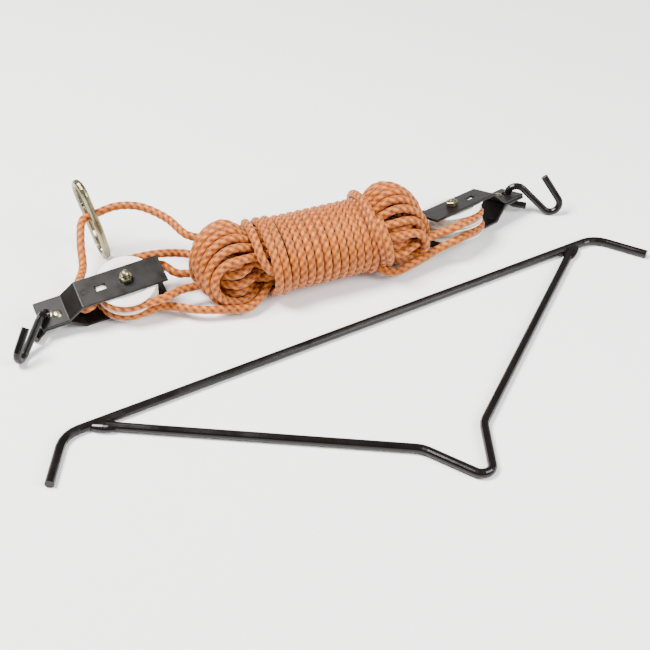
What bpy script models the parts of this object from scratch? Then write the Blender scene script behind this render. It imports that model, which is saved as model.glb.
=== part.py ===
"""Gambrel hoist kit: a welded rod gambrel, two twin-sheave rope blocks with S-hooks,
a snap link and a wrapped hank of braided rope, each piece its own object.
Units are metres, +Z is up, the floor is z = 0, +X runs along the gambrel crossbar."""

import math

import bpy
from mathutils import Euler, Matrix, Vector

for stale in list(bpy.data.objects):
    bpy.data.objects.remove(stale, do_unlink=True)

MM = 0.001
GAP = 0.3 * MM
UP = Vector((0.0, 0.0, 1.0))

# where the two groups lie, so that the whole kit is centred on the origin
GAMBREL_PLACE = (0.0, -21.2 * MM, 0.0)
HOIST_PLACE = (3.3 * MM, -17.7 * MM, 0.0)

# ---------------------------------------------------------------- gambrel rods
ROD_DIAMETER = 8.0 * MM
ROD_RADIUS = ROD_DIAMETER / 2
CROSSBAR_BEND_X = 275.0 * MM
CROSSBAR_TIP_X = 303.5 * MM
CROSSBAR_TIP_DROP = 46.0 * MM
CROSSBAR_BEND_RADIUS = 24.0 * MM
V_SPAN_HALF = 251.0 * MM
V_SHOULDER_X = 30.0 * MM
V_SHOULDER_DROP = 158.0 * MM
V_NOTCH_DROP = 205.0 * MM
V_NOTCH_HALF_WIDTH = 5.5 * MM
V_SHOULDER_RADIUS = 22.0 * MM
V_NOTCH_RADIUS = 9.0 * MM
V_END_CUT = 12.6 * MM
WELD_LENGTH = 30.0 * MM
WELD_WIDTH = 13.0 * MM
WELD_HEIGHT = 7.8 * MM
WELD_SHIFT = 10.5 * MM

# ---------------------------------------------------------------- rope blocks
PLATE_WIDTH = 30.0 * MM
PLATE_THICKNESS = 2.5 * MM
PLATE_INNER = 13.0 * MM
PLATE_OUTER = PLATE_INNER + PLATE_THICKNESS
PLATE_FREE_END = -35.0 * MM
PLATE_BEND = 44.0 * MM
PLATE_SLOPE_RUN = 14.0 * MM
TONGUE_END = 84.0 * MM
WINDOW_X = 24.0 * MM
WINDOW_LENGTH = 10.0 * MM
WINDOW_WIDTH = 6.5 * MM
RIVET_X = 67.0 * MM
RIVET_Y = 4.0 * MM
RIVET_DIAMETER = 5.0 * MM
HOOK_HOLE_X = 75.5 * MM
HOOK_HOLE_DIAMETER = 10.5 * MM
BOLT_DIAMETER = 7.0 * MM
BOLT_HEAD_DIAMETER = 12.0 * MM
BOLT_HEAD_HEIGHT = 2.7 * MM
NUT_ACROSS_FLATS = 11.0 * MM
NUT_HEIGHT = 4.6 * MM
SLEEVE_DIAMETER = 10.4 * MM
SHEAVE_RADIUS = 28.0 * MM
SHEAVE_THICKNESS = 12.1 * MM
SHEAVE_CENTRE = 6.65 * MM
SHEAVE_BORE = 11.2 * MM
GROOVE_BOTTOM = 21.0 * MM
GROOVE_HALF_WIDTH = 4.75 * MM
WASHER_DIAMETER = 20.0 * MM
WASHER_THICKNESS = 0.6 * MM
BECKET_PIN_X = 39.5 * MM
BECKET_PIN_DIAMETER = 5.0 * MM

# name: location, (roll, pitch, yaw) in degrees, bolt end above the upper plate
BLOCKS = {
    "left": ((-166.0, 127.5, 22.7), (-17.0, 4.4, 174.8), 11.0 * MM),
    "right": ((155.5, 71.5, 21.2), (-16.0, 2.6, 10.0), 7.0 * MM),
}

# ---------------------------------------------------------------- S-hooks
HOOK_WIRE = 7.0 * MM
EYE_RADIUS = 9.5 * MM
HOOK_RADIUS = 9.0 * MM
HOOK_CENTRES = 36.0 * MM
TAIL_LENGTH = 12.0 * MM
TAIL_TURN = 215.0
TIP_SPREAD = 12.0
# name: heading of the hook in degrees about +Z, tip leg length
HOOKS = {
    "left": (222.0, 20.0 * MM),
    "right": (-37.0, 28.0 * MM),
}

# ---------------------------------------------------------------- snap link
LINK_WIRE = 7.2 * MM
LINK_LENGTH = 83.0 * MM
LINK_NOSE_RADIUS = 12.5 * MM
LINK_HEEL_RADIUS = 9.5 * MM
LINK_FOOT = (-155.0, 207.0, 0.0)
LINK_TOP = (-166.5, 238.0, 76.0)
LINK_TURN = 13.0
LINK_GATE_BOTTOM = 14.0 * MM
LINK_GATE_TOP = 60.0 * MM
LINK_BLADE_THICKNESS = 2.6 * MM
LINK_SLOT = 3.2 * MM
LINK_PIN_DIAMETER = 2.4 * MM
LINK_LIFT = 2.2 * MM
LINK_ROPE_HEIGHT = 46.0 * MM
LINK_ROPE_SIDE = 4.5 * MM

# ---------------------------------------------------------------- rope
ROPE_DIAMETER = 8.0 * MM
ROPE_SEAT = GROOVE_BOTTOM + ROPE_DIAMETER / 2 + 3 * GAP
ROPE_SPACING = 9.0 * MM
KNOT_RING_RADIUS = 6.9 * MM
HANK_CENTRE = (4.0, 93.0)
HANK_YAW = -8.0
HANK_LENGTH = 222.0 * MM
HANK_WIDTH = 78.0 * MM
HANK_HEIGHT = 66.0 * MM


def finish(name, colour, roughness, metallic):
    """One Principled material per object."""
    material = bpy.data.materials.new(name)
    material.use_nodes = True
    shader = material.node_tree.nodes["Principled BSDF"]
    shader.inputs["Base Color"].default_value = (*colour, 1.0)
    shader.inputs["Roughness"].default_value = roughness
    shader.inputs["Metallic"].default_value = metallic
    return material


BLACK = ((0.02, 0.018, 0.018), 0.35, 0.3)
NYLON = ((0.82, 0.78, 0.72), 0.45, 0.0)
ZINC = ((0.62, 0.60, 0.50), 0.3, 0.9)
ROPE = ((0.80, 0.32, 0.10), 0.7, 0.0)


def add(name, data, look):
    item = bpy.data.objects.new(name, data)
    bpy.context.collection.objects.link(item)
    data.materials.append(finish(name, *look))
    return item


def guide(name, data):
    """A cutter: never rendered."""
    item = bpy.data.objects.new(name, data)
    bpy.context.collection.objects.link(item)
    item.hide_render = True
    item.display_type = "WIRE"
    return item


def seat(item, parent, location=(0.0, 0.0, 0.0), rotation=(0.0, 0.0, 0.0)):
    item.parent = parent
    item.location = location
    item.rotation_euler = rotation
    return item


def empty(name, location, rotation):
    item = bpy.data.objects.new(name, None)
    bpy.context.collection.objects.link(item)
    item.location = location
    item.rotation_euler = rotation
    return item


def cut(item, cutter):
    step = item.modifiers.new("cut_" + cutter.name, "BOOLEAN")
    step.operation = "DIFFERENCE"
    step.solver = "EXACT"
    step.object = cutter


def bevel(item, width, segments=2):
    step = item.modifiers.new("edge", "BEVEL")
    step.width = width
    step.segments = segments
    step.limit_method = "ANGLE"
    step.angle_limit = math.radians(40.0)


# ---------------------------------------------------------------- path helpers
def fillet(corners, radii, step_angle=15.0):
    """A bent centre line: straight runs joined by arcs of the given bend radii."""
    points = [Vector(corners[0])]
    for index in range(1, len(corners) - 1):
        here = Vector(corners[index])
        back = (Vector(corners[index - 1]) - here).normalized()
        ahead = (Vector(corners[index + 1]) - here).normalized()
        radius = radii[index - 1]
        opening = back.angle(ahead)
        reach = radius / math.tan(opening / 2)
        centre = here + (back + ahead).normalized() * (radius / math.sin(opening / 2))
        start = here + back * reach - centre
        turn = math.pi - opening
        axis = start.cross(here + ahead * reach - centre).normalized()
        count = max(2, round(math.degrees(turn) / step_angle))
        for k in range(count + 1):
            angle = turn * k / count
            side = axis.cross(start)
            points.append(centre + start * math.cos(angle) + side * math.sin(angle))
    points.append(Vector(corners[-1]))
    return points


def smooth(route, spacing):
    """Evenly spaced points on a smooth curve through the route's points."""
    knots = [Vector(p) for p in route]
    knots = [knots[0] * 2 - knots[1]] + knots + [knots[-1] * 2 - knots[-2]]
    fine = []
    divisions = 24
    for k in range(1, len(knots) - 2):
        a, b, c, d = knots[k - 1:k + 3]
        for j in range(divisions):
            t = j / divisions
            bend = (a * -1 + b * 3 - c * 3 + d) * t ** 3
            sway = (a * 2 - b * 5 + c * 4 - d) * t ** 2
            fine.append((bend + sway + (c - a) * t + b * 2) * 0.5)
    fine.append(knots[-2])
    total = sum((fine[k + 1] - fine[k]).length for k in range(len(fine) - 1))
    count = max(2, round(total / spacing))
    points = [fine[0]]
    walked = 0.0
    for k in range(len(fine) - 1):
        leg = (fine[k + 1] - fine[k]).length
        while len(points) < count and walked + leg >= total * len(points) / count:
            share = (total * len(points) / count - walked) / leg
            points.append(fine[k].lerp(fine[k + 1], share))
        walked += leg
    points.append(fine[-1])
    return points


def tube(name, points, diameter, look, sides=3):
    """A round bar or rope along a poly line, with flat closed ends."""
    curve = bpy.data.curves.new(name, "CURVE")
    curve.dimensions = "3D"
    curve.bevel_depth = diameter / 2
    curve.bevel_resolution = sides
    curve.use_fill_caps = True
    spline = curve.splines.new("POLY")
    spline.points.add(len(points) - 1)
    for target, point in zip(spline.points, points):
        target.co = (*point, 1.0)
    spline.use_smooth = True
    return add(name, curve, look)


def mesh_data(name, vertices, faces, round_faces=False):
    data = bpy.data.meshes.new(name)
    data.from_pydata([tuple(v) for v in vertices], [], faces)
    for face in data.polygons:
        face.use_smooth = round_faces
    return data


def cylinder_data(name, radius, bottom, top, sides=32):
    ring = [(radius * math.cos(math.tau * k / sides), radius * math.sin(math.tau * k / sides))
            for k in range(sides)]
    vertices = [(x, y, bottom) for x, y in ring] + [(x, y, top) for x, y in ring]
    faces = [tuple(reversed(range(sides))), tuple(range(sides, 2 * sides))]
    for k in range(sides):
        nxt = (k + 1) % sides
        faces.append((k, nxt, sides + nxt, sides + k))
    return mesh_data(name, vertices, faces)


def box_data(name, low, high):
    x0, y0, z0 = low
    x1, y1, z1 = high
    vertices = [(x0, y0, z0), (x1, y0, z0), (x1, y1, z0), (x0, y1, z0),
                (x0, y0, z1), (x1, y0, z1), (x1, y1, z1), (x0, y1, z1)]
    faces = [(3, 2, 1, 0), (4, 5, 6, 7), (0, 1, 5, 4), (1, 2, 6, 5), (2, 3, 7, 6), (3, 0, 4, 7)]
    return mesh_data(name, vertices, faces)


def turned(name, profile, look, steps=48, closed=False):
    """A lathe-turned piece: the profile at +X runs down its outer side."""
    data = bpy.data.meshes.new(name)
    edges = [(k, k + 1) for k in range(len(profile) - 1)]
    if closed:
        edges.append((len(profile) - 1, 0))
    data.from_pydata([(x, 0.0, z) for x, z in profile], edges, [])
    item = add(name, data, look)
    screw = item.modifiers.new("turn", "SCREW")
    screw.axis = "Z"
    screw.steps = steps
    screw.render_steps = steps
    screw.use_merge_vertices = True
    screw.merge_threshold = 0.00001
    screw.use_smooth_shade = True
    return item


# ---------------------------------------------------------------- gambrel
def build_gambrel():
    z = ROD_RADIUS
    crossbar = [(-CROSSBAR_TIP_X, -CROSSBAR_TIP_DROP, z), (-CROSSBAR_BEND_X, 0.0, z),
                (CROSSBAR_BEND_X, 0.0, z), (CROSSBAR_TIP_X, -CROSSBAR_TIP_DROP, z)]
    path = fillet(crossbar, [CROSSBAR_BEND_RADIUS, CROSSBAR_BEND_RADIUS])
    tube("gambrel_crossbar", path, ROD_DIAMETER, BLACK, 6)

    slope = Vector((V_SPAN_HALF - V_SHOULDER_X, V_SHOULDER_DROP, 0.0)).normalized()
    right_end = Vector((V_SPAN_HALF, 0.0, z)) - slope * V_END_CUT
    left_end = Vector((-right_end.x, right_end.y, z))
    corners = [left_end, (-V_SHOULDER_X, -V_SHOULDER_DROP, z),
               (-V_NOTCH_HALF_WIDTH, -V_NOTCH_DROP, z), (V_NOTCH_HALF_WIDTH, -V_NOTCH_DROP, z),
               (V_SHOULDER_X, -V_SHOULDER_DROP, z), right_end]
    radii = [V_SHOULDER_RADIUS, V_NOTCH_RADIUS, V_NOTCH_RADIUS, V_SHOULDER_RADIUS]
    tube("gambrel_v_rod", fillet(corners, radii), ROD_DIAMETER, BLACK, 6)

    clearance = ROD_RADIUS + GAP
    for side, sign in (("left", -1.0), ("right", 1.0)):
        lean = math.atan2(slope.y, slope.x * sign)
        joint = Vector((sign * V_SPAN_HALF, 0.0, z))
        along = Vector((slope.x * sign, slope.y, 0.0))
        blob = bpy.data.meshes.new("weld_" + side)
        vertices = []
        faces = []
        rows = 10
        columns = 22
        for row in range(1, rows):
            polar = math.pi * row / rows
            for column in range(columns):
                around = math.tau * column / columns
                vertices.append((WELD_LENGTH / 2 * math.cos(polar),
                                 WELD_WIDTH / 2 * math.sin(polar) * math.cos(around),
                                 WELD_HEIGHT / 2 * math.sin(polar) * math.sin(around)))
        top = len(vertices)
        vertices += [(WELD_LENGTH / 2, 0.0, 0.0), (-WELD_LENGTH / 2, 0.0, 0.0)]
        for column in range(columns):
            nxt = (column + 1) % columns
            faces.append((top, column, nxt))
            last = (rows - 2) * columns
            faces.append((top + 1, last + nxt, last + column))
            for row in range(rows - 2):
                base = row * columns
                faces.append((base + column, base + columns + column,
                              base + columns + nxt, base + nxt))
        blob.from_pydata(vertices, [], faces)
        bead = add("weld_bead_" + side, blob, BLACK)
        bead.location = joint - along * WELD_SHIFT
        bead.rotation_euler = (0.0, 0.0, lean)
        bar = guide("weld_bar_cutter_" + side, cylinder_data("bar", clearance, -0.06, 0.06))
        bar.location = joint
        bar.rotation_euler = (0.0, math.pi / 2, 0.0)
        leg = guide("weld_leg_cutter_" + side, cylinder_data("leg", clearance, 0.0, 0.06))
        leg.location = joint - along * (V_END_CUT - GAP)
        leg.rotation_euler = Euler((0.0, -math.pi / 2, lean))
        beyond = guide("weld_far_cutter_" + side, box_data("far", (-0.1, 0.0, -0.1), (0.1, 0.1, 0.1)))
        beyond.location = joint
        cut(bead, bar)
        cut(bead, leg)
        cut(bead, beyond)


# ---------------------------------------------------------------- blocks
def strip_profile():
    """Outline of the upper side plate in the block's XZ plane."""
    bend_x = PLATE_BEND + PLATE_SLOPE_RUN
    rest = GAP / 2
    inner = [(PLATE_FREE_END, PLATE_INNER), (PLATE_BEND, PLATE_INNER), (bend_x, rest),
             (TONGUE_END, rest)]
    fall = math.atan2(PLATE_INNER - rest, PLATE_SLOPE_RUN)
    shift = PLATE_THICKNESS * math.tan(fall / 2)
    outer = [(PLATE_FREE_END, PLATE_OUTER), (PLATE_BEND + shift, PLATE_OUTER),
             (bend_x + shift, rest + PLATE_THICKNESS), (TONGUE_END, rest + PLATE_THICKNESS)]
    return inner + list(reversed(outer))


def build_plate(name, parent, sign, cutters):
    outline = strip_profile()
    half = PLATE_WIDTH / 2
    near = [(x, -half, z * sign) for x, z in outline]
    far = [(x, half, z * sign) for x, z in outline]
    count = len(outline)
    faces = [tuple(range(count)), tuple(reversed(range(count, 2 * count)))]
    for k in range(count):
        nxt = (k + 1) % count
        faces.append((nxt, k, count + k, count + nxt))
    if sign < 0:
        faces = [tuple(reversed(face)) for face in faces]
    plate = add(name, mesh_data(name, near + far, faces), BLACK)
    bevel(plate, 0.5 * MM, 1)
    seat(plate, parent)
    for cutter in cutters:
        cut(plate, cutter)
    return plate


def build_sheave(name, parent, height):
    half = SHEAVE_THICKNESS / 2
    bore = SHEAVE_BORE / 2
    lip = SHEAVE_RADIUS - 0.5 * MM
    hub = 8.5 * MM
    dish = 1.0 * MM
    web = 11.0 * MM
    rim_start = 18.5 * MM
    profile = [(hub, half), (web, half - dish), (rim_start, half - dish),
               (rim_start + 2.5 * MM, half), (lip, half), (SHEAVE_RADIUS, half - 0.5 * MM)]
    shoulder = GROOVE_BOTTOM + 3.6 * MM
    fillet_x = GROOVE_BOTTOM + 0.7 * MM
    profile += [(SHEAVE_RADIUS, GROOVE_HALF_WIDTH), (shoulder, GROOVE_HALF_WIDTH - 0.1 * MM),
                (fillet_x, 3.2 * MM), (GROOVE_BOTTOM, 0.0), (fillet_x, -3.2 * MM),
                (shoulder, 0.1 * MM - GROOVE_HALF_WIDTH), (SHEAVE_RADIUS, -GROOVE_HALF_WIDTH)]
    profile += [(SHEAVE_RADIUS, 0.5 * MM - half), (lip, -half), (rim_start + 2.5 * MM, -half),
                (rim_start, dish - half), (web, dish - half), (hub, -half),
                (bore, -half), (bore, half)]
    return seat(turned(name, profile, NYLON, 30, closed=True), parent, (0.0, 0.0, height))


def build_block(side, place, turn, stand):
    frame = empty("block_" + side, [v * MM for v in place], [math.radians(v) for v in turn])
    bolt_hole = guide("bolt_hole_" + side,
                      cylinder_data("bolt_hole", BOLT_DIAMETER / 2 + GAP, -0.03, 0.03, 24))
    window = guide("window_" + side,
                   box_data("window", (WINDOW_X - WINDOW_LENGTH / 2, -WINDOW_WIDTH / 2, -0.03),
                            (WINDOW_X + WINDOW_LENGTH / 2, WINDOW_WIDTH / 2, 0.03)))
    rivet_hole = guide("rivet_hole_" + side,
                       cylinder_data("rivet_hole", RIVET_DIAMETER / 2 + GAP, -0.03, 0.03, 16))
    hook_hole = guide("hook_hole_" + side,
                      cylinder_data("hook_hole", HOOK_HOLE_DIAMETER / 2, -0.03, 0.03, 24))
    cutters = [seat(bolt_hole, frame), seat(window, frame),
               seat(rivet_hole, frame, (RIVET_X, RIVET_Y, 0.0)),
               seat(hook_hole, frame, (HOOK_HOLE_X, 0.0, 0.0))]
    if side == "left":
        pin_hole = guide("pin_hole", cylinder_data("pin_hole", BECKET_PIN_DIAMETER / 2 + GAP,
                                                   -0.03, 0.03, 16))
        cutters.append(seat(pin_hole, frame, (BECKET_PIN_X, 0.0, 0.0)))
    build_plate(side + "_plate_upper", frame, 1.0, cutters)
    build_plate(side + "_plate_lower", frame, -1.0, cutters)

    shank = BOLT_DIAMETER / 2
    head = BOLT_HEAD_DIAMETER / 2
    seat_z = -PLATE_OUTER - GAP
    end_z = PLATE_OUTER + stand
    profile = [(0.0, end_z), (shank * 0.6, end_z - 0.2 * MM), (shank, end_z - 1.2 * MM),
               (shank, seat_z), (head, seat_z), (head, seat_z - 0.7 * MM),
               (head * 0.8, seat_z - 0.75 * BOLT_HEAD_HEIGHT), (head * 0.45, seat_z - BOLT_HEAD_HEIGHT),
               (0.0, seat_z - BOLT_HEAD_HEIGHT)]
    seat(turned(side + "_axle_bolt", profile, ZINC, 24), frame)

    nut_radius = NUT_ACROSS_FLATS / 2 / math.cos(math.pi / 6)
    nut_low = PLATE_OUTER + GAP
    nut = add(side + "_axle_nut", cylinder_data("nut", nut_radius, nut_low, nut_low + NUT_HEIGHT, 6),
              ZINC)
    bevel(nut, 0.4 * MM, 1)
    seat(nut, frame)
    cut(nut, cutters[0])

    inner = BOLT_DIAMETER / 2 + GAP
    sleeve = SLEEVE_DIAMETER / 2
    reach = PLATE_INNER - GAP
    seat(turned(side + "_axle_sleeve", [(sleeve, reach), (sleeve, -reach), (inner, -reach),
                                        (inner, reach)], ZINC, 24, closed=True), frame)
    rim = WASHER_DIAMETER / 2
    hole = sleeve + GAP
    thick = WASHER_THICKNESS / 2
    seat(turned(side + "_sheave_washer", [(rim, thick), (rim, -thick), (hole, -thick),
                                          (hole, thick)], ZINC, 24, closed=True), frame)
    build_sheave(side + "_sheave_upper", frame, SHEAVE_CENTRE)
    build_sheave(side + "_sheave_lower", frame, -SHEAVE_CENTRE)

    body = RIVET_DIAMETER / 2
    crown = 4.4 * MM
    face = GAP / 2 + PLATE_THICKNESS + GAP
    rise = 1.6 * MM
    profile = [(0.0, face + rise), (crown * 0.6, face + rise * 0.8), (crown, face), (body, face),
               (body, -face), (crown, -face), (crown * 0.6, -face - rise * 0.8), (0.0, -face - rise)]
    seat(turned(side + "_tongue_rivet", profile, ZINC, 24), frame, (RIVET_X, RIVET_Y, 0.0))
    return frame


def build_becket(frame):
    """The pin across the throat of the left block that holds the rope's dead end."""
    radius = BECKET_PIN_DIAMETER / 2
    reach = PLATE_OUTER
    profile = [(0.0, reach), (radius, reach), (radius, -reach), (0.0, -reach)]
    seat(turned("left_becket_pin", profile, BLACK, 24), frame, (BECKET_PIN_X, 0.0, 0.0))


# ---------------------------------------------------------------- S-hooks
def hook_path(tip_length):
    """Centre line in the hook's own XZ plane, eye centre at the origin, hook towards +X."""
    cross = math.asin((EYE_RADIUS + HOOK_RADIUS) / HOOK_CENTRES)
    run_angle = -cross
    run = Vector((math.cos(run_angle), 0.0, math.sin(run_angle)))
    normal = Vector((-run.z, 0.0, run.x))
    eye_start = normal * EYE_RADIUS
    points = []
    tail_turn = math.radians(TAIL_TURN)
    tail_point = turn_about_y(eye_start, -tail_turn)
    tail_heading = turn_about_y(run * -1, -tail_turn)
    points.append(tail_point + tail_heading * TAIL_LENGTH)
    steps = 11
    for k in range(steps + 1):
        points.append(turn_about_y(eye_start, -tail_turn * (1 - k / steps)))
    centre = Vector((HOOK_CENTRES, 0.0, 0.0))
    arm = normal * -HOOK_RADIUS
    tip_turn = math.radians(180.0 - TIP_SPREAD)
    for k in range(steps + 1):
        points.append(centre + turn_about_y(arm, -tip_turn * k / steps))
    tip_heading = turn_about_y(run, -tip_turn)
    points.append(points[-1] + tip_heading * tip_length)
    return points


def turn_about_y(vector, angle):
    c = math.cos(angle)
    s = math.sin(angle)
    return Vector((vector.x * c + vector.z * s, 0.0, -vector.x * s + vector.z * c))


def build_hook(side, frame, heading, tip_length):
    """The hook lies in a plane square to the tongue, its bend resting on the floor."""
    plate_up = (frame.matrix_basis.to_3x3() @ UP).normalized()
    hole = frame.matrix_basis @ Vector((HOOK_HOLE_X, 0.0, 0.0))
    yaw = math.radians(heading)
    ahead = Vector((math.cos(yaw), math.sin(yaw), 0.0))
    in_plate = (ahead - plate_up * ahead.dot(plate_up)).normalized()
    eye = hole + in_plate * EYE_RADIUS
    low = HOOK_RADIUS + HOOK_WIRE / 2
    for _ in range(3):
        drop = (eye.z - low) / HOOK_CENTRES
        x_axis = ahead * math.sqrt(1 - drop * drop) - UP * drop
        z_axis = (plate_up - x_axis * plate_up.dot(x_axis)).normalized()
        y_axis = z_axis.cross(x_axis)
        low = HOOK_RADIUS * math.sqrt(1 - y_axis.z ** 2) + HOOK_WIRE / 2
    rotation = Matrix((x_axis, y_axis, z_axis)).transposed().to_euler()
    pivot = empty("s_hook_pivot_" + side, eye, rotation)
    wire = tube(side + "_s_hook", hook_path(tip_length), HOOK_WIRE, BLACK, 4)
    seat(wire, pivot)


# ---------------------------------------------------------------- snap link
def swept_data(name, points, radius, sides=12):
    """A round wire as a closed mesh along a path that lies in the XZ plane."""
    across = Vector((0.0, 1.0, 0.0))
    vertices = []
    for index, point in enumerate(points):
        before = points[max(index - 1, 0)]
        after = points[min(index + 1, len(points) - 1)]
        side = (after - before).normalized().cross(across)
        for k in range(sides):
            angle = math.tau * k / sides
            vertices.append(point + side * radius * math.cos(angle) + across * radius * math.sin(angle))
    faces = [tuple(reversed(range(sides)))]
    last = (len(points) - 1) * sides
    for index in range(len(points) - 1):
        base = index * sides
        for k in range(sides):
            nxt = (k + 1) % sides
            faces.append((base + k, base + nxt, base + sides + nxt, base + sides + k))
    faces.append(tuple(range(last, last + sides)))
    data = mesh_data(name, vertices, faces)
    for face in data.polygons:
        face.use_smooth = len(face.vertices) == 4
    return data


def link_path():
    """Snap link wire in its own XZ plane, heel at z = 0, gate on the -X side."""
    radius = LINK_WIRE / 2
    gate_x = -LINK_NOSE_RADIUS
    nose_z = LINK_LENGTH - radius - LINK_NOSE_RADIUS
    heel = Vector((gate_x + LINK_HEEL_RADIUS, 0.0, radius + LINK_HEEL_RADIUS))
    points = [Vector((gate_x, 0.0, LINK_GATE_TOP - 6.0 * MM)),
              Vector((gate_x, 0.0, LINK_GATE_TOP + 1.0 * MM))]
    steps = 12
    for k in range(steps + 1):
        angle = math.pi - math.pi * k / steps
        points.append(Vector((LINK_NOSE_RADIUS * math.cos(angle), 0.0,
                              nose_z + LINK_NOSE_RADIUS * math.sin(angle))))
    waist = Vector((LINK_NOSE_RADIUS, 0.0, 30.0 * MM))
    points.append(waist)
    flare = math.atan2(2.0 * (LINK_NOSE_RADIUS - LINK_HEEL_RADIUS), waist.z - heel.z)
    for k in range(steps + 1):
        angle = -flare - (math.pi - flare) * k / steps
        points.append(heel + Vector((math.cos(angle), 0.0, math.sin(angle))) * LINK_HEEL_RADIUS)
    points.append(Vector((gate_x, 0.0, LINK_GATE_BOTTOM + 8.0 * MM)))
    return points


def build_link(frame):
    gate_x = -LINK_NOSE_RADIUS
    radius = LINK_WIRE / 2
    hinge_z = LINK_GATE_BOTTOM + 4.4 * MM
    latch_z = LINK_GATE_TOP - 3.2 * MM
    blade = LINK_BLADE_THICKNESS / 2
    wide = 0.01
    body = add("snap_link_body", swept_data("snap_link_body", link_path(), radius), ZINC)
    seat(body, frame)
    for name, low_z, high_z in (("heel", hinge_z - 6.4 * MM, hinge_z + 9.0 * MM),
                                ("nose", LINK_GATE_TOP - 9.0 * MM, LINK_GATE_TOP + 0.8 * MM)):
        for sign in (-1.0, 1.0):
            low_y, high_y = sorted((sign * blade, sign * wide))
            cheek = guide("link_" + name + "_cheek_" + str(int(sign)),
                          box_data("cheek", (gate_x - 5.5 * MM, low_y, low_z),
                                   (gate_x + 5.5 * MM, high_y, high_z)))
            cut(body, seat(cheek, frame))
    notch = guide("link_notch", box_data("notch", (gate_x - 1.6 * MM, -wide, latch_z - 1.9 * MM),
                                         (gate_x + 5.5 * MM, wide, latch_z + 1.6 * MM)))
    cut(body, seat(notch, frame))
    pin_hole = guide("link_pin_hole", cylinder_data("pin_hole", LINK_PIN_DIAMETER / 2 + GAP,
                                                    -0.02, 0.02, 16))
    cut(body, seat(pin_hole, frame, (gate_x, 0.0, hinge_z), (math.pi / 2, 0.0, 0.0)))

    pivot = empty("gate_pivot", (gate_x, 0.0, hinge_z), (0.0, 0.0, 0.0))
    pivot.parent = frame
    low = LINK_GATE_BOTTOM - hinge_z
    high = LINK_GATE_TOP - hinge_z
    gate = add("snap_link_gate", cylinder_data("gate", radius, low, high, 24), ZINC)
    for face in gate.data.polygons:
        face.use_smooth = len(face.vertices) == 4
    seat(gate, pivot)
    slot = LINK_SLOT / 2
    for name, low_z, high_z in (("low", low - 0.01, 10.0 * MM), ("high", high - 7.5 * MM, high + 0.01)):
        cutter = guide("gate_slot_" + name, box_data("slot", (-wide, -slot, low_z), (wide, slot, high_z)))
        cut(gate, seat(cutter, pivot))
    bore = guide("gate_bore", cylinder_data("bore", 2.0 * MM, 9.0 * MM, 26.0 * MM, 16))
    cut(gate, seat(bore, pivot))
    for name, height in (("hinge", 0.0), ("latch", latch_z - hinge_z)):
        hole = guide("gate_" + name + "_hole",
                     cylinder_data("hole", LINK_PIN_DIAMETER / 2 + GAP, -0.02, 0.02, 16))
        cut(gate, seat(hole, pivot, (0.0, 0.0, height), (math.pi / 2, 0.0, 0.0)))
    reach = radius - GAP
    pin = LINK_PIN_DIAMETER / 2
    profile = [(0.0, reach), (pin, reach), (pin, -reach), (0.0, -reach)]
    seat(turned("gate_hinge_pin", profile, ZINC, 16), frame, (gate_x, 0.0, hinge_z),
         (math.pi / 2, 0.0, 0.0))
    seat(turned("gate_latch_pin", profile, ZINC, 16), pivot, (0.0, 0.0, latch_z - hinge_z),
         (math.pi / 2, 0.0, 0.0))
    turns = 6
    steps = 6
    coil = []
    for k in range(turns * steps + 1):
        angle = math.tau * k / steps
        coil.append((1.35 * MM * math.cos(angle), 1.35 * MM * math.sin(angle),
                     10.5 * MM + 14.5 * MM * k / (turns * steps)))
    seat(tube("gate_spring", coil, 0.6 * MM, ZINC, 1), pivot)


def link_frame():
    foot = Vector(LINK_FOOT) * MM
    top = Vector(LINK_TOP) * MM
    length_axis = (top - foot).normalized()
    facing = Vector((-0.235, -0.798, 0.555))
    width_axis = (facing - length_axis * facing.dot(length_axis)).normalized()
    cross_axis = length_axis.cross(width_axis)
    turn = math.radians(LINK_TURN)
    width_axis = width_axis * math.cos(turn) + cross_axis * math.sin(turn)
    cross_axis = length_axis.cross(width_axis)
    rotation = Matrix((width_axis, cross_axis, length_axis)).transposed().to_euler()
    return empty("snap_link", foot + UP * LINK_LIFT, rotation)


# ---------------------------------------------------------------- rope
def hank_face(angle, height, side):
    """The last two points of a strand that meets the hank's round end squarely."""
    yaw = math.radians(HANK_YAW)
    half = (HANK_LENGTH - HANK_WIDTH) / 2 * side
    centre = Vector((HANK_CENTRE[0] * MM + half * math.cos(yaw),
                     HANK_CENTRE[1] * MM + half * math.sin(yaw), height))
    out = Vector((math.cos(math.radians(angle)), math.sin(math.radians(angle)), 0.0))
    return [centre + out * (HANK_WIDTH / 2 + 16.0 * MM), centre + out * (HANK_WIDTH / 2 + 2.0 * GAP)]


def build_hank():
    yaw = math.radians(HANK_YAW)
    half = (HANK_LENGTH - HANK_WIDTH) / 2
    radius = HANK_WIDTH / 2
    steps = 14
    outline = []
    for side in (1.0, -1.0):
        for k in range(steps + 1):
            angle = math.pi * k / steps - math.pi / 2
            if side < 0:
                angle += math.pi
            outline.append((side * half + radius * math.cos(angle), radius * math.sin(angle)))
    count = len(outline)
    vertices = [(x, y, 0.0) for x, y in outline] + [(x, y, HANK_HEIGHT) for x, y in outline]
    faces = [tuple(reversed(range(count))), tuple(range(count, 2 * count))]
    for k in range(count):
        nxt = (k + 1) % count
        faces.append((k, nxt, count + nxt, count + k))
    hank = add("rope_hank", mesh_data("rope_hank", vertices, faces), ROPE)
    hank.location = (HANK_CENTRE[0] * MM, HANK_CENTRE[1] * MM, 0.0)
    hank.rotation_euler = (0.0, 0.0, yaw)
    bevel(hank, 9.0 * MM, 3)


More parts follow.
